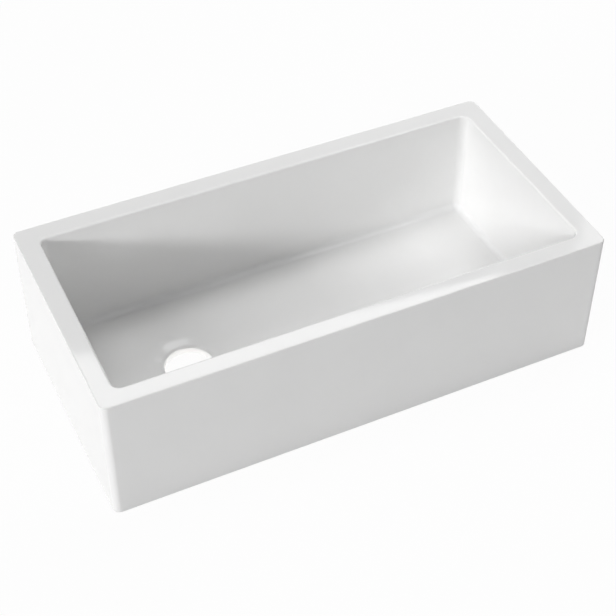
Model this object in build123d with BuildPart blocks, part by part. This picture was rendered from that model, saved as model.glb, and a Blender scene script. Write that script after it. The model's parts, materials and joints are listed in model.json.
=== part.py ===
from build123d import *
import os

# A one-piece fireclay sink with an apron front, in millimetres.
# Frame: +X along the length, -Y towards the apron, +Z up, origin at the middle of the base.
# Sizes are those of the finished, glazed surface unless the comment says otherwise.

# Overall size
sink_length = 914.0
sink_depth = 455.0
sink_height = 252.0
outer_corner_radius = 13.0

# Rim, seen from above: the side rims widen a little from the apron to the back
front_rim = 34.5
back_rim = 38.0
side_rim_at_front = 34.5
side_rim_at_back = 38.0
rim_outer_radius = 2.5
rim_inner_radius = 4.0

# Bowl
floor_height = 30.0
bowl_corner_radius = 15.0
floor_edge_radius = 12.0

# Drain hole, the narrow flat seat round it, and the sloping dish round the seat.
# The dish's slope is blended into the seat and into the floor by arcs of large radius.
drain_x = -227.5
drain_y = 12.5
drain_radius = 44.0
drain_lip_radius = 2.5
seat_width = 7.0
dish_width = 19.0
dish_depth = 5.0
dish_inner_blend = 15.0
dish_outer_blend = 60.0

# Underside: the bare clay foot, the recess inside it and the pocket for the strainer's nut
foot_width = 40.0
foot_recess = 3.0
foot_edge_radius = 0.8
ledge_thickness = 13.0
ledge_width = 31.0
pocket_edge_radius = 2.0

# Fired coats on the clay, and how far each stops above the surface that the sink stands on
engobe_thickness = 0.8
glaze_thickness = 0.8
engobe_hem = 1.0
glaze_hem = 1.5

# How deep each coated surface lies under the finished one
under_both_coats = engobe_thickness + glaze_thickness
under_glaze = glaze_thickness
at_finish = 0.0

# Sizes that follow from those above
dish_inner_radius = drain_radius + seat_width
dish_outer_radius = dish_inner_radius + dish_width
nut_pocket_radius = drain_radius + ledge_width
seat_height = floor_height - dish_depth
ledge_height = seat_height - ledge_thickness


def sink_form(depth):
    """The whole sink, with its coated surfaces lying depth under the finished ones."""
    with BuildPart() as form:
        # Outer block, with its corners and its top edge rounded
        with BuildSketch():
            RectangleRounded(
                sink_length - 2 * depth,
                sink_depth - 2 * depth,
                outer_corner_radius - depth,
            )
        extrude(amount=sink_height - depth)
        fillet(form.faces().sort_by(Axis.Z)[-1].edges(), rim_outer_radius - depth)

        # Bowl, cut down to its floor
        front_y = -sink_depth / 2 + front_rim
        back_y = sink_depth / 2 - back_rim
        front_x = sink_length / 2 - side_rim_at_front
        back_x = sink_length / 2 - side_rim_at_back
        bowl_floor = floor_height - depth
        with BuildSketch(Plane.XY.offset(bowl_floor)) as opening:
            with BuildLine():
                Polyline(
                    (-front_x, front_y),
                    (front_x, front_y),
                    (back_x, back_y),
                    (-back_x, back_y),
                    close=True,
                )
            make_face()
            if depth > 0:
                offset(amount=depth, kind=Kind.INTERSECTION)
            fillet(opening.vertices(), bowl_corner_radius + depth)
        extrude(amount=sink_height, mode=Mode.SUBTRACT)
        floor_outline = form.edges().filter_by_position(Axis.Z, bowl_floor, bowl_floor)
        fillet(floor_outline, floor_edge_radius + depth)
        rim_top = form.faces().filter_by(Axis.Z).sort_by(Axis.Z)[-1]
        fillet(rim_top.inner_wires()[0].edges(), rim_inner_radius - depth)

        # Underside: the recess inside the foot, and the nut pocket up to the drain's ledge
        with BuildSketch():
            RectangleRounded(
                sink_length - 2 * foot_width,
                sink_depth - 2 * foot_width,
                outer_corner_radius,
            )
        extrude(amount=foot_recess, mode=Mode.SUBTRACT)
        with BuildSketch():
            with Locations((drain_x, drain_y)):
                Circle(nut_pocket_radius)
        extrude(amount=ledge_height, mode=Mode.SUBTRACT)

        # Drain: hole, lip, seat and dish, turned about the hole's axis
        drain_plane = Plane(origin=(drain_x, drain_y, 0), x_dir=(1, 0, 0), z_dir=(0, -1, 0))
        with BuildSketch(drain_plane) as profile:
            with BuildLine():
                Polyline(
                    (0, 0),
                    (drain_radius, 0),
                    (drain_radius, seat_height),
                    (dish_inner_radius, seat_height),
                    (dish_outer_radius, floor_height),
                    (dish_outer_radius, sink_height),
                    (0, sink_height),
                    close=True,
                )
            make_face()
            lip = profile.vertices().sort_by_distance((drain_radius, seat_height))[0]
            fillet(lip, drain_lip_radius)
            if depth > 0:
                offset(amount=depth, kind=Kind.INTERSECTION)
            split(bisect_by=Plane.YZ, keep=Keep.TOP)
        revolve(axis=Axis((drain_x, drain_y, 0), (0, 0, 1)), mode=Mode.SUBTRACT)
        slope = form.faces().filter_by(GeomType.CONE)[0]
        slope_foot = slope.edges().filter_by(GeomType.CIRCLE).sort_by(Axis.Z)[0]
        fillet(slope_foot, dish_inner_blend + depth)
        slope = form.faces().filter_by(GeomType.CONE)[0]
        slope_top = slope.edges().filter_by(GeomType.CIRCLE).sort_by(Axis.Z)[-1]
        fillet(slope_top, dish_outer_blend - depth)
    return form.part


os.makedirs("parts", exist_ok=True)

# The fired clay casting, which carries everything and stands on its bare foot
with BuildPart() as fireclay_body:
    add(sink_form(under_both_coats))
    foot = fireclay_body.faces().sort_by(Axis.Z)[0]
    fillet(foot.edges(), foot_edge_radius)
    recess_edges = fireclay_body.edges().filter_by_position(Axis.Z, foot_recess, foot_recess)
    pocket_mouth = recess_edges.filter_by(GeomType.CIRCLE).sort_by(SortBy.RADIUS)[-1]
    fillet(pocket_mouth, pocket_edge_radius)
fireclay_body.part.label = "fireclay_body"
export_step(fireclay_body.part, "parts/fireclay_body.step")

# White engobe between the clay and the glaze, stopping just above the foot
with BuildPart() as engobe_coat:
    add(sink_form(under_glaze))
    add(sink_form(under_both_coats), mode=Mode.SUBTRACT)
    split(bisect_by=Plane.XY.offset(engobe_hem), keep=Keep.TOP)
engobe_coat.part.label = "engobe_coat"
export_step(engobe_coat.part, "parts/engobe_coat.step")

# Glaze over the engobe: the rim, the apron, the sides, the back, the bowl and the drain hole
with BuildPart() as glaze_coat:
    add(sink_form(at_finish))
    add(sink_form(under_glaze), mode=Mode.SUBTRACT)
    split(bisect_by=Plane.XY.offset(glaze_hem), keep=Keep.TOP)
glaze_coat.part.label = "glaze_coat"
export_step(glaze_coat.part, "parts/glaze_coat.step")
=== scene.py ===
import json
import math

import bmesh
import bpy
from mathutils import Euler, Matrix, Vector, noise


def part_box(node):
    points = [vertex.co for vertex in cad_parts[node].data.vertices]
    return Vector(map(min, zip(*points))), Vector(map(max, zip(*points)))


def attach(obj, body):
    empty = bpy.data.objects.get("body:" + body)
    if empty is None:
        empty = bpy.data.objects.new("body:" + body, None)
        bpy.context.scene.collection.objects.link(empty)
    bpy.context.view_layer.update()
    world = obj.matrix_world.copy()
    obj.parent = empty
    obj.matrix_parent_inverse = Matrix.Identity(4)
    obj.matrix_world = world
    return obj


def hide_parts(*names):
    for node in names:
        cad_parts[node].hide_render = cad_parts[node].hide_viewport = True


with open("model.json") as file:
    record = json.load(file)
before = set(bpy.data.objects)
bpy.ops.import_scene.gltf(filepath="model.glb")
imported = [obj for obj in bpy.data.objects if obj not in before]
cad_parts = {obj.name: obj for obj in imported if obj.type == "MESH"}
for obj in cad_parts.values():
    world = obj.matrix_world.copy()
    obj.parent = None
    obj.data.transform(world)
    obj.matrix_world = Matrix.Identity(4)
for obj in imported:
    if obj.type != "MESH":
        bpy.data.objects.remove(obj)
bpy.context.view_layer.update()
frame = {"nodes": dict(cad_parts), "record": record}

# A one-piece fireclay sink with an apron front: a clay casting under a coat of slip and a coat of glaze.
# Metres, in the sink's own frame: +X along its length, -Y out of the apron, +Z up.
MM = 0.001
UP = Vector((0, 0, 1))
FULL_TURN = 2 * math.pi
X_AXIS, Y_AXIS, Z_AXIS = 0, 1, 2

# A bevel's settings, a profile that is a true arc and new faces that keep the material beside them, and the
# side to which a skin's wall grows
ARC_PROFILE = 0.5
KEEP_MATERIAL = -1
INWARDS = -1

# The finished sink's overall size comes from the frame
glaze_low, glaze_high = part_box("glaze_coat")
LENGTH = glaze_high.x - glaze_low.x
DEPTH = glaze_high.y - glaze_low.y
HEIGHT = glaze_high.z
GLAZE_HEM = glaze_low.z

# Its drain comes from the mounts: the hole, the seat round it and the ledge under it
mounts = {mount["name"]: mount for mount in frame["record"]["mounts"]}
DRAIN_RADIUS = mounts["drain_bore"]["dims"]["r_mm"] * MM
DRAIN_X, DRAIN_Y = mounts["drain_bore"]["pos_m"][:2]
SEAT_HEIGHT = mounts["strainer_seat"]["pos_m"][2]
LEDGE_HEIGHT = mounts["strainer_nut_ledge"]["pos_m"][2]

# Sizes that the frame doesn't give: the outer corners, the rims and the bowl
OUTER_CORNER = 13.0 * MM
FRONT_RIM = 34.5 * MM
BACK_RIM = 38.0 * MM
SIDE_RIM_AT_FRONT = 34.5 * MM
SIDE_RIM_AT_BACK = 38.0 * MM
RIM_OUTER_RADIUS = 2.5 * MM
RIM_INNER_RADIUS = 4.0 * MM
FLOOR_HEIGHT = 30.0 * MM
BOWL_CORNER = 15.0 * MM
FLOOR_EDGE_RADIUS = 12.0 * MM

# The drain's lip, its seat, the dish that is blended into the seat and the floor, and the ring of flat floor
# that is turned in one piece with the dish
DRAIN_LIP_RADIUS = 2.5 * MM
SEAT_WIDTH = 7.0 * MM
DISH_WIDTH = 19.0 * MM
DISH_INNER_BLEND = 15.0 * MM
DISH_OUTER_BLEND = 60.0 * MM
FLAT_ROUND_DISH = 12.0 * MM

# The glaze, and the slow waves that the kiln leaves in it: their spacing, and how far inwards they reach
GLAZE_THICKNESS = 0.8 * MM
WAVE_SPACING = 160.0 * MM
WAVE_DEPTH = 0.15 * MM

# The glaze's hem is rounded where its edges turn by more than the angle, which no fillet's facets do
HEM_ROUNDING = 0.25 * MM
HEM_STEPS = 2
HEM_ANGLE = math.radians(60)

# Colours as the light shows them, in linear red, green and blue
GLAZE_WHITE = (0.905, 0.905, 0.902)
GLAZE_SHADE = (0.89, 0.89, 0.887)
GLAZE_THIN = (0.87, 0.867, 0.858)
GLAZE_DEEP = (0.903, 0.905, 0.905)
PINHOLE = (0.45, 0.41, 0.36)
SLIP_WHITE = (0.78, 0.77, 0.745)
SLIP_SHADE = (0.70, 0.685, 0.65)
CLAY_LIGHT = (0.60, 0.52, 0.41)
CLAY_DARK = (0.49, 0.41, 0.31)
GROG_DARK = (0.24, 0.17, 0.12)
GROG_LIGHT = (0.72, 0.67, 0.58)
KILN_WASH = (0.76, 0.74, 0.70)

# How far the thin glaze's colour shows where the glaze is thinnest, and how far the kiln wash hides the clay
THIN_SHARE = 0.5
WASH_COVER = 0.6

# Roughness, from the smoothest patch to the roughest, how high the grain of each surface stands, and how
# strongly the glaze bends light
GLAZE_ROUGHNESS = (0.04, 0.06)
SLIP_ROUGHNESS = (0.55, 0.7)
CLAY_ROUGHNESS = (0.8, 0.95)
GLAZE_RIPPLE_HEIGHT = 0.006 * MM
SLIP_BRUSH_HEIGHT = 0.05 * MM
CLAY_GRAIN_HEIGHT = 0.25 * MM
GLAZE_IOR = 1.5

# Detail of the noises, and the stretch of each noise that makes the patches of tone and of kiln wash
MOTTLE_DETAIL = 3.0
RIPPLE_DETAIL = 1.0
GRAIN_DETAIL = 2.0
MOTTLE_STRETCH = (0.3, 0.7)
WASH_STRETCH = (0.72, 0.95)
WHOLE = (0.0, 1.0)

# Names of the marks that the glaze's mesh carries
THIN = "thin_glaze"
POOLED = "pooled_glaze"

# How finely the glaze is divided, which edges count as long ones, and how nearly level a loop lies
CORNER_STEPS = 8
EDGE_STEPS = 6
LONG_STEPS = 36
SHORT_STEPS = 18
WALL_STEPS = 9
FLOOR_RINGS = 14
LONG_EDGE = 100.0 * MM
LEVEL_WITHIN = 0.01 * MM

# Camera: a long lens, with the sensor and the lens in millimetres. It is turned to its right from straight
# ahead, dipped, and rolled a little, in degrees.
SENSOR_WIDTH = 36.0
LENS = 84.42
CAMERA_PLACE = (-0.8105, -1.6836, 1.8754)
CAMERA_TURN = 25.70
CAMERA_DIP = 43.80
CAMERA_ROLL = 0.268

# Studio: a pale sheet that is mostly white where it is seen, soft light from all round, and the place
# that the softboxes face
FLOOR_REACH = 4.0
PAPER = (0.8, 0.8, 0.8, 1.0)
WHITE = (1.0, 1.0, 1.0, 1.0)
WHITE_STRENGTH = 1.0
WHITE_SHARE = 0.96
AMBIENT = 0.03
MIDDLE = Vector((0.0, 0.0, 0.15))

# The studio's softboxes, which face the sink. Azimuth is 0 behind it, 90 to its right, 180 in front and 270
# to its left, and elevation is above the level, both in degrees. Radiance is what a softbox's face shows.
SOFTBOXES = {
    "key": dict(azimuth=247, elevation=18.8, distance=9.0, width=3.8, height=1.1, radiance=34.0),
    "left_high": dict(azimuth=265, elevation=39, distance=9.0, width=4.0, height=3.0, radiance=3.5),
    "left_top": dict(azimuth=300, elevation=68, distance=9.0, width=3.2, height=3.2, radiance=3.9),
    "front_fill": dict(azimuth=162, elevation=12, distance=9.0, width=5.0, height=2.4, radiance=2.9),
    "right_back": dict(azimuth=56.5, elevation=40, distance=7.0, width=2.3, height=2.4, radiance=1.8),
    "back_glow": dict(azimuth=32, elevation=19, distance=9.0, width=9.4, height=4.5, radiance=1.1),
    "back_top": dict(azimuth=50, elevation=70, distance=9.0, width=3.2, height=3.2, radiance=2.5),
}

# Panels that don't face the sink: one looks straight down, and one forward from high up behind. The turn is
# about the panel's own axis, in degrees.
PANELS = {
    "overhead_right": dict(
        place=(0.95, 0.25, 1.752), facing=(0, 0, -1), turn=-10, width=0.55, height=0.90, radiance=3.4
    ),
    "back_high": dict(
        place=(1.713, 4.0, 5.38), facing=(0, -1, 0), turn=-10.2, width=3.08, height=1.40, radiance=3.5
    ),
}

# The light that the white sheet throws up through the drain
DRAIN_LIGHT_HEIGHT = 2.0 * MM
DRAIN_LIGHT_WIDTH = 120.0 * MM
DRAIN_LIGHT_RADIANCE = 1.35


# ---------------------------------------------------------------- shaping helpers

def block_between(bm, low, high):
    """A plain block between two corners, for bevels to shape."""
    verts = bmesh.ops.create_cube(bm, size=1.0)["verts"]
    bmesh.ops.scale(bm, vec=high - low, verts=verts)
    bmesh.ops.translate(bm, vec=(low + high) / 2, verts=verts)
    return verts


def run_of(edge, axis):
    """How far an edge reaches along an axis."""
    start, end = edge.verts
    return abs(start.co[axis] - end.co[axis])


def long_edges(bm, axis):
    """The edges that run a long way along an axis."""
    return [edge for edge in bm.edges if run_of(edge, axis) > LONG_EDGE]


def rounded(bm, edges, radius, steps):
    """Rounds edges to a radius and gives back the new faces."""
    made = bmesh.ops.bevel(
        bm,
        geom=edges,
        affect="EDGES",
        offset=radius,
        offset_type="OFFSET",
        segments=steps,
        profile=ARC_PROFILE,
        material=KEEP_MATERIAL,
    )
    return made["faces"]


def lies_at(part, height):
    """Whether an edge or a face is level and at a height."""
    return all(abs(vert.co.z - height) < LEVEL_WITHIN for vert in part.verts)


def flat_face(bm, height):
    """The one level face of a shape that lies at a height."""
    for face in bm.faces:
        if lies_at(face, height):
            return face
    raise ValueError("no level face there")


def opened(bm, height):
    """Takes the level face at a height away and leaves its edges."""
    bmesh.ops.delete(bm, geom=[flat_face(bm, height)], context="FACES_ONLY")


def divided(bm, axis, parts):
    """Cuts every long edge along an axis into equal parts."""
    bmesh.ops.subdivide_edges(bm, edges=long_edges(bm, axis), cuts=parts - 1, use_grid_fill=True)


def joined_into(bm, shape):
    """Adds a shape to another mesh and gives back its edges there."""
    before = set(bm.edges)
    mesh = bpy.data.meshes.new("shape")
    shape.to_mesh(mesh)
    shape.free()
    bm.from_mesh(mesh)
    bpy.data.meshes.remove(mesh)
    return [edge for edge in bm.edges if edge not in before]


def level_loop(edges, height):
    """The open edges that lie at a height."""
    return [edge for edge in edges if edge.is_boundary and lies_at(edge, height)]


def face_up(bm):
    """Turns an open shape's faces the same way, on the whole upwards."""
    bmesh.ops.recalc_face_normals(bm, faces=bm.faces)
    bm.normal_update()
    if sum(face.normal.z * face.calc_area() for face in bm.faces) < 0:
        bmesh.ops.reverse_faces(bm, faces=bm.faces)


def marked(bm, faces, name):
    """Marks the middle of a rounded strip, so that the glaze can differ there."""
    layer = bm.verts.layers.float.get(name) or bm.verts.layers.float.new(name)
    strip = set(faces)
    for vert in {vert for face in faces for vert in face.verts}:
        if all(face in strip for face in vert.link_faces):
            vert[layer] = 1.0


def placed(bm, name):
    """Makes an object of a mesh, where the mesh is."""
    mesh = bpy.data.meshes.new(name)
    bm.to_mesh(mesh)
    bm.free()
    mesh.shade_smooth()
    piece = bpy.data.objects.new(name, mesh)
    bpy.context.scene.collection.objects.link(piece)
    return piece


# ---------------------------------------------------------------- the glaze

def outer_walls():
    """Apron, sides and back, from the glaze's hem to the rim, open at the top and the bottom."""
    bm = bmesh.new()
    low = Vector((-LENGTH / 2, -DEPTH / 2, GLAZE_HEM))
    high = Vector((LENGTH / 2, DEPTH / 2, HEIGHT))
    block_between(bm, low, high)
    rounded(bm, long_edges(bm, Z_AXIS), OUTER_CORNER, CORNER_STEPS)
    opened(bm, HEIGHT)
    opened(bm, GLAZE_HEM)
    divided(bm, X_AXIS, LONG_STEPS)
    divided(bm, Y_AXIS, SHORT_STEPS)
    divided(bm, Z_AXIS, WALL_STEPS)
    return bm


def bowl_walls():
    """The bowl's walls with rounded corners, and the round edge down to its floor."""
    bm = bmesh.new()
    front_x = LENGTH / 2 - SIDE_RIM_AT_FRONT
    back_x = LENGTH / 2 - SIDE_RIM_AT_BACK
    low = Vector((-front_x, -DEPTH / 2 + FRONT_RIM, FLOOR_HEIGHT))
    high = Vector((front_x, DEPTH / 2 - BACK_RIM, HEIGHT))
    verts = block_between(bm, low, high)
    at_back = [vert for vert in verts if vert.co.y > 0]
    bmesh.ops.scale(bm, vec=(back_x / front_x, 1, 1), verts=at_back)
    rounded(bm, long_edges(bm, Z_AXIS), BOWL_CORNER, CORNER_STEPS)
    opened(bm, HEIGHT)
    floor = flat_face(bm, FLOOR_HEIGHT)
    marked(bm, rounded(bm, list(floor.edges), FLOOR_EDGE_RADIUS, CORNER_STEPS), POOLED)
    opened(bm, FLOOR_HEIGHT)
    divided(bm, X_AXIS, LONG_STEPS)
    divided(bm, Y_AXIS, SHORT_STEPS)
    divided(bm, Z_AXIS, WALL_STEPS)
    bmesh.ops.reverse_faces(bm, faces=bm.faces)
    return bm


def blended(bm, vert, radius, turn):
    """Rounds a profile's corner to a radius, where the profile turns by an angle."""
    bmesh.ops.bevel(
        bm,
        geom=[vert],
        affect="VERTICES",
        offset=radius * math.tan(turn / 2),
        segments=EDGE_STEPS,
        profile=ARC_PROFILE,
        material=KEEP_MATERIAL,
    )


def drain_dish(steps):
    """The drain's wall, lip, seat and dish, turned about the hole's axis."""
    bm = bmesh.new()
    seat_edge = DRAIN_RADIUS + SEAT_WIDTH
    dish_edge = seat_edge + DISH_WIDTH
    profile = [
        (DRAIN_RADIUS, LEDGE_HEIGHT),
        (DRAIN_RADIUS, SEAT_HEIGHT),
        (seat_edge, SEAT_HEIGHT),
        (dish_edge, FLOOR_HEIGHT),
        (dish_edge + FLAT_ROUND_DISH, FLOOR_HEIGHT),
    ]
    verts = [bm.verts.new((DRAIN_X + radius, DRAIN_Y, height)) for radius, height in profile]
    for start, end in zip(verts, verts[1:]):
        bm.edges.new((start, end))
    slope = math.atan2(FLOOR_HEIGHT - SEAT_HEIGHT, DISH_WIDTH)
    blended(bm, verts[1], DRAIN_LIP_RADIUS, math.pi / 2)
    blended(bm, verts[2], DISH_INNER_BLEND, slope)
    blended(bm, verts[3], DISH_OUTER_BLEND, slope)
    bmesh.ops.spin(
        bm,
        geom=list(bm.verts) + list(bm.edges),
        cent=(DRAIN_X, DRAIN_Y, 0),
        axis=UP,
        angle=FULL_TURN,
        steps=steps,
        use_merge=True,
    )
    face_up(bm)
    return bm


def outer_ring(edges):
    """The open edges that lie furthest from the drain's axis."""
    axis = Vector((DRAIN_X, DRAIN_Y))
    reach = DRAIN_RADIUS + SEAT_WIDTH + DISH_WIDTH
    return [edge for edge in edges if edge.is_boundary and (edge.verts[0].co.xy - axis).length > reach]


def waved(bm):
    """Lets every face swell and sink a little, inwards only, as fired clay does."""
    bm.normal_update()
    for vert in bm.verts:
        swell = noise.noise(vert.co / WAVE_SPACING)
        vert.co -= vert.normal * WAVE_DEPTH * (1 - swell) / 2


def glaze_shape():
    """The glaze's outer surface in one skin: walls, rim, bowl, floor and drain."""
    bm = bmesh.new()
    outer = joined_into(bm, outer_walls())
    bowl = joined_into(bm, bowl_walls())
    outer_top = level_loop(outer, HEIGHT)
    bowl_top = level_loop(bowl, HEIGHT)
    bmesh.ops.bridge_loops(bm, edges=outer_top + bowl_top)
    marked(bm, rounded(bm, outer_top, RIM_OUTER_RADIUS, EDGE_STEPS), THIN)
    marked(bm, rounded(bm, bowl_top, RIM_INNER_RADIUS, EDGE_STEPS), THIN)

    floor_loop = level_loop(bm.edges, FLOOR_HEIGHT)
    dish = joined_into(bm, drain_dish(len(floor_loop)))
    spokes = bmesh.ops.bridge_loops(bm, edges=floor_loop + outer_ring(dish))["edges"]
    bmesh.ops.subdivide_edges(bm, edges=spokes, cuts=FLOOR_RINGS, use_grid_fill=True)
    bmesh.ops.recalc_face_normals(bm, faces=bm.faces)
    waved(bm)
    return bm


def glaze_coat():
    """The fired gloss coat: everything that shows from above."""
    piece = placed(glaze_shape(), "glaze")
    wall = piece.modifiers.new("coat", "SOLIDIFY")
    wall.thickness = GLAZE_THICKNESS - WAVE_DEPTH
    wall.offset = INWARDS
    wall.use_even_offset = True
    hem = piece.modifiers.new("rounded_hem", "BEVEL")
    hem.width = HEM_ROUNDING
    hem.segments = HEM_STEPS
    hem.limit_method = "ANGLE"
    hem.angle_limit = HEM_ANGLE
    piece.modifiers.new("even_gloss", "WEIGHTED_NORMAL")
    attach(piece, "root")
    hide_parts("glaze_coat")
    return piece


# ---------------------------------------------------------------- finishes

def effect(name, inputs, outputs):
    """An empty node group with number sockets, and its first and last nodes."""
    group = bpy.data.node_groups.new(name, "ShaderNodeTree")
    for label in inputs:
        group.interface.new_socket(label, in_out="INPUT", socket_type="NodeSocketFloat")
    for label in outputs:
        group.interface.new_socket(label, in_out="OUTPUT", socket_type="NodeSocketFloat")
    return group, group.nodes.new("NodeGroupInput"), group.nodes.new("NodeGroupOutput")


def patches(group, scale, detail):
    """Noise in the piece's own metres."""
    where = group.nodes.new("ShaderNodeTexCoord")
    cloud = group.nodes.new("ShaderNodeTexNoise")
    cloud.inputs["Detail"].default_value = detail
    group.links.new(where.outputs["Object"], cloud.inputs["Vector"])
    group.links.new(scale, cloud.inputs["Scale"])
    return cloud.outputs["Fac"]


def spread(group, value, source, target):
    """Stretches one range of a value to another. Each range is a lowest and a highest value."""
    step = group.nodes.new("ShaderNodeMapRange")
    step.inputs["From Min"].default_value = source[0]
    step.inputs["From Max"].default_value = source[1]
    step.inputs["To Min"].default_value = target[0]
    step.inputs["To Max"].default_value = target[1]
    group.links.new(value, step.inputs["Value"])
    return step.outputs["Result"]


def reckoned(group, operation, first, second):
    """Works one value out from two, each a number or a socket."""
    step = group.nodes.new("ShaderNodeMath")
    step.operation = operation
    for socket, value in zip(step.inputs, (first, second)):
        if isinstance(value, (int, float)):
            socket.default_value = value
        else:
            group.links.new(value, socket)
    return step.outputs[0]


def mottle_effect():
    """Slow drifts of tone from the firing."""
    group, start, end = effect("fired_mottle", ["Patches per metre"], ["Shade"])
    broad = patches(group, start.outputs["Patches per metre"], MOTTLE_DETAIL)
    group.links.new(spread(group, broad, MOTTLE_STRETCH, WHOLE), end.inputs["Shade"])
    return group


def speck_effect():
    """Small round marks, one at most in each cell, and only in some of the cells."""
    sizes = ["Cells per metre", "Radius in cells", "Share of cells"]
    group, start, end = effect("specks", sizes, ["Mask"])
    where = group.nodes.new("ShaderNodeTexCoord")
    cells = group.nodes.new("ShaderNodeTexVoronoi")
    group.links.new(where.outputs["Object"], cells.inputs["Vector"])
    group.links.new(start.outputs["Cells per metre"], cells.inputs["Scale"])
    chance = group.nodes.new("ShaderNodeSeparateColor")
    group.links.new(cells.outputs["Color"], chance.inputs["Color"])
    near = reckoned(group, "LESS_THAN", cells.outputs["Distance"], start.outputs["Radius in cells"])
    chosen = reckoned(group, "LESS_THAN", chance.outputs["Red"], start.outputs["Share of cells"])
    group.links.new(reckoned(group, "MULTIPLY", near, chosen), end.inputs["Mask"])
    return group


def skin_effect():
    """The height of a fired surface: a slow ripple with a finer grain on it."""
    sizes = ["Ripples per metre", "Grains per metre", "Share of grain"]
    group, start, end = effect("fired_skin", sizes, ["Height"])
    ripple = patches(group, start.outputs["Ripples per metre"], RIPPLE_DETAIL)
    grain = patches(group, start.outputs["Grains per metre"], GRAIN_DETAIL)
    fine = reckoned(group, "MULTIPLY", grain, start.outputs["Share of grain"])
    group.links.new(reckoned(group, "ADD", ripple, fine), end.inputs["Height"])
    return group


def use(tree, group, output, **values):
    """Places an effect in a material with its own values."""
    step = tree.nodes.new("ShaderNodeGroup")
    step.node_tree = group
    for label, value in values.items():
        step.inputs[label.replace("_", " ")].default_value = value
    return step.outputs[output]


def tinted(tree, mask, under, over):
    """Lays one colour over another through a mask. Each colour is a triple or a socket."""
    step = tree.nodes.new("ShaderNodeMix")
    step.data_type = "RGBA"
    tree.links.new(mask, step.inputs["Factor"])
    for label, colour in (("A", under), ("B", over)):
        socket = [entry for entry in step.inputs if entry.name == label and entry.type == "RGBA"][0]
        if isinstance(colour, tuple):
            socket.default_value = (*colour, 1.0)
        else:
            tree.links.new(colour, socket)
    return [entry for entry in step.outputs if entry.type == "RGBA"][0]


def raised(tree, height, distance):
    """Turns heights into a normal."""
    step = tree.nodes.new("ShaderNodeBump")
    step.inputs["Distance"].default_value = distance
    tree.links.new(height, step.inputs["Height"])
    return step.outputs["Normal"]


def finish(name):
    """A new material with its nodes and its shader."""
    material = bpy.data.materials.new(name)
    material.use_nodes = True
    return material, material.node_tree, material.node_tree.nodes["Principled BSDF"]


def mark(tree, name):
    """A mark that the piece's mesh carries, from 0 to 1."""
    step = tree.nodes.new("ShaderNodeAttribute")
    step.attribute_name = name
    return step.outputs["Fac"]


def glaze_finish(mottle, specks, skin):
    """Clear white gloss, a touch thinner on the edges and deeper in the round of the floor."""
    material, tree, shader = finish("white_glaze")
    drift = use(tree, mottle, "Shade", Patches_per_metre=9.0)
    colour = tinted(tree, drift, GLAZE_WHITE, GLAZE_SHADE)
    thin = reckoned(tree, "MULTIPLY", mark(tree, THIN), THIN_SHARE)
    colour = tinted(tree, thin, colour, GLAZE_THIN)
    colour = tinted(tree, mark(tree, POOLED), colour, GLAZE_DEEP)
    pinholes = use(
        tree, specks, "Mask", Cells_per_metre=45.0, Radius_in_cells=0.012, Share_of_cells=0.25
    )
    colour = tinted(tree, pinholes, colour, PINHOLE)
    gloss = use(tree, mottle, "Shade", Patches_per_metre=30.0)
    ripple = use(
        tree, skin, "Height", Ripples_per_metre=140.0, Grains_per_metre=1500.0, Share_of_grain=0.05
    )
    tree.links.new(colour, shader.inputs["Base Color"])
    tree.links.new(spread(tree, gloss, WHOLE, GLAZE_ROUGHNESS), shader.inputs["Roughness"])
    tree.links.new(raised(tree, ripple, GLAZE_RIPPLE_HEIGHT), shader.inputs["Normal"])
    shader.inputs["IOR"].default_value = GLAZE_IOR
    return material


def engobe_finish(mottle, specks, skin):
    """Matt white slip, a little uneven where it was brushed."""
    material, tree, shader = finish("white_slip")
    drift = use(tree, mottle, "Shade", Patches_per_metre=60.0)
    colour = tinted(tree, drift, SLIP_WHITE, SLIP_SHADE)
    grog = use(tree, specks, "Mask", Cells_per_metre=400.0, Radius_in_cells=0.12, Share_of_cells=0.08)
    colour = tinted(tree, grog, colour, GROG_DARK)
    brushed = use(
        tree, skin, "Height", Ripples_per_metre=300.0, Grains_per_metre=3000.0, Share_of_grain=0.5
    )
    tree.links.new(colour, shader.inputs["Base Color"])
    tree.links.new(spread(tree, drift, WHOLE, SLIP_ROUGHNESS), shader.inputs["Roughness"])
    tree.links.new(raised(tree, brushed, SLIP_BRUSH_HEIGHT), shader.inputs["Normal"])
    return material


def fireclay_finish(mottle, specks, skin):
    """Bare buff clay with grog in it, dusted here and there with kiln wash."""
    material, tree, shader = finish("bare_fireclay")
    drift = use(tree, mottle, "Shade", Patches_per_metre=14.0)
    colour = tinted(tree, drift, CLAY_LIGHT, CLAY_DARK)
    dark = use(tree, specks, "Mask", Cells_per_metre=260.0, Radius_in_cells=0.16, Share_of_cells=0.3)
    colour = tinted(tree, dark, colour, GROG_DARK)
    light = use(tree, specks, "Mask", Cells_per_metre=170.0, Radius_in_cells=0.14, Share_of_cells=0.3)
    colour = tinted(tree, light, colour, GROG_LIGHT)
    dusting = use(tree, mottle, "Shade", Patches_per_metre=35.0)
    wash = spread(tree, dusting, WASH_STRETCH, (0.0, WASH_COVER))
    colour = tinted(tree, wash, colour, KILN_WASH)
    grain = use(
        tree, skin, "Height", Ripples_per_metre=120.0, Grains_per_metre=1600.0, Share_of_grain=0.6
    )
    tree.links.new(colour, shader.inputs["Base Color"])
    tree.links.new(spread(tree, drift, WHOLE, CLAY_ROUGHNESS), shader.inputs["Roughness"])
    tree.links.new(raised(tree, grain, CLAY_GRAIN_HEIGHT), shader.inputs["Normal"])
    return material


def finished(piece, material):
    """Gives a piece one finish, in place of what it came with."""
    if not piece.material_slots:
        piece.data.materials.append(material)
    for slot in piece.material_slots:
        slot.material = material


# ---------------------------------------------------------------- camera

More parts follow.
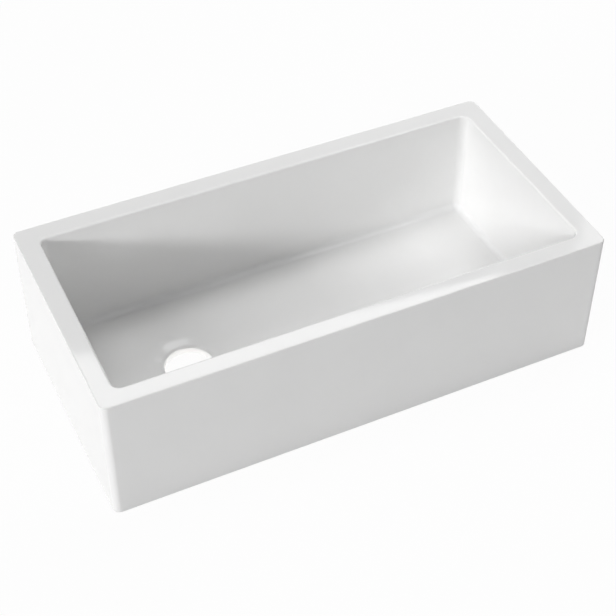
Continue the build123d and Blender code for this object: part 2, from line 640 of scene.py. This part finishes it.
def photographer():
    """The camera: a long lens, high in front of the sink and to its left."""
    camera = bpy.data.objects.new("camera", bpy.data.cameras.new("camera"))
    bpy.context.scene.collection.objects.link(camera)
    camera.data.sensor_width = SENSOR_WIDTH
    camera.data.lens = LENS
    camera.location = CAMERA_PLACE
    aim = Euler((math.radians(90 - CAMERA_DIP), 0, math.radians(-CAMERA_TURN))).to_matrix()
    roll = Matrix.Rotation(math.radians(CAMERA_ROLL), 3, "Z")
    camera.rotation_euler = (aim @ roll).to_euler()
    bpy.context.scene.camera = camera


# ---------------------------------------------------------------- studio

def softbox(name, place, facing, width, height, radiance, turn=0.0):
    """A lamp with a flat rectangular face, unseen by the camera."""
    lamp = bpy.data.lights.new(name, "AREA")
    lamp.shape = "RECTANGLE"
    lamp.size = width
    lamp.size_y = height
    lamp.energy = radiance * width * height * math.pi
    box = bpy.data.objects.new(name, lamp)
    bpy.context.scene.collection.objects.link(box)
    box.location = place
    aim = Vector(facing).to_track_quat("-Z", "Y").to_matrix()
    box.rotation_euler = (aim @ Matrix.Rotation(math.radians(turn), 3, "Z")).to_euler()
    box.visible_camera = False
    return box


def softbox_round(name, azimuth, elevation, distance, width, height, radiance):
    """A softbox that faces the middle of the sink from a bearing, a height and a distance."""
    bearing = math.radians(azimuth)
    rise = math.radians(elevation)
    level = Vector((math.sin(bearing), math.cos(bearing), 0)) * math.cos(rise)
    out = level + UP * math.sin(rise)
    softbox(name, MIDDLE + out * distance, -out, width, height, radiance)


def drain_light():
    """A lamp under the drain that lights the hole's wall and doesn't show in the gloss."""
    place = (DRAIN_X, DRAIN_Y, DRAIN_LIGHT_HEIGHT)
    lamp = softbox("under_drain", place, UP, DRAIN_LIGHT_WIDTH, DRAIN_LIGHT_WIDTH, DRAIN_LIGHT_RADIANCE)
    lamp.visible_glossy = False


def studio_lamps():
    """All the lamps of the studio."""
    drain_light()
    for name, values in SOFTBOXES.items():
        softbox_round(name, **values)
    for name, values in PANELS.items():
        softbox(name, **values)


def seen_directly(nodes, links):
    """1 where the camera sees a surface, straight or in gloss or glass, and 0 where it only gives light."""
    path = nodes.new("ShaderNodeLightPath")
    glossy = nodes.new("ShaderNodeMath")
    glossy.operation = "MAXIMUM"
    links.new(path.outputs["Is Camera Ray"], glossy.inputs[0])
    links.new(path.outputs["Is Glossy Ray"], glossy.inputs[1])
    either = nodes.new("ShaderNodeMath")
    either.operation = "MAXIMUM"
    links.new(glossy.outputs[0], either.inputs[0])
    links.new(path.outputs["Is Transmission Ray"], either.inputs[1])
    return either.outputs[0]


def studio_floor():
    """A plain pale sheet that reads as white and still takes the sink's shadow."""
    bm = bmesh.new()
    bmesh.ops.create_grid(bm, x_segments=1, y_segments=1, size=FLOOR_REACH)
    floor = placed(bm, "floor")
    material = bpy.data.materials.new("studio_paper")
    material.use_nodes = True
    nodes = material.node_tree.nodes
    links = material.node_tree.links
    nodes.clear()
    output = nodes.new("ShaderNodeOutputMaterial")
    paper = nodes.new("ShaderNodeBsdfDiffuse")
    paper.inputs["Color"].default_value = PAPER
    white = nodes.new("ShaderNodeEmission")
    white.inputs["Strength"].default_value = WHITE_STRENGTH
    share = nodes.new("ShaderNodeMath")
    share.operation = "MULTIPLY"
    share.inputs[1].default_value = WHITE_SHARE
    mix = nodes.new("ShaderNodeMixShader")
    links.new(seen_directly(nodes, links), share.inputs[0])
    links.new(share.outputs[0], mix.inputs["Fac"])
    links.new(paper.outputs[0], mix.inputs[1])
    links.new(white.outputs[0], mix.inputs[2])
    links.new(mix.outputs[0], output.inputs["Surface"])
    floor.data.materials.append(material)


def studio_world():
    """Plain soft light from all round, and white where it is seen."""
    world = bpy.data.worlds.new("studio")
    bpy.context.scene.world = world
    world.use_nodes = True
    nodes = world.node_tree.nodes
    links = world.node_tree.links
    nodes.clear()
    output = nodes.new("ShaderNodeOutputWorld")
    light = nodes.new("ShaderNodeBackground")
    light.inputs["Color"].default_value = WHITE
    light.inputs["Strength"].default_value = AMBIENT
    white = nodes.new("ShaderNodeBackground")
    white.inputs["Color"].default_value = WHITE
    white.inputs["Strength"].default_value = WHITE_STRENGTH
    mix = nodes.new("ShaderNodeMixShader")
    links.new(seen_directly(nodes, links), mix.inputs["Fac"])
    links.new(light.outputs[0], mix.inputs[1])
    links.new(white.outputs[0], mix.inputs[2])
    links.new(mix.outputs[0], output.inputs["Surface"])


# ---------------------------------------------------------------- the scene

coat = glaze_coat()
photographer()
studio_floor()
studio_lamps()
studio_world()

mottle = mottle_effect()
specks = speck_effect()
skin = skin_effect()
finished(coat, glaze_finish(mottle, specks, skin))
finished(frame["nodes"]["engobe_coat"], engobe_finish(mottle, specks, skin))
finished(frame["nodes"]["fireclay_body"], fireclay_finish(mottle, specks, skin))

bpy.context.scene.view_settings.view_transform = "Standard"
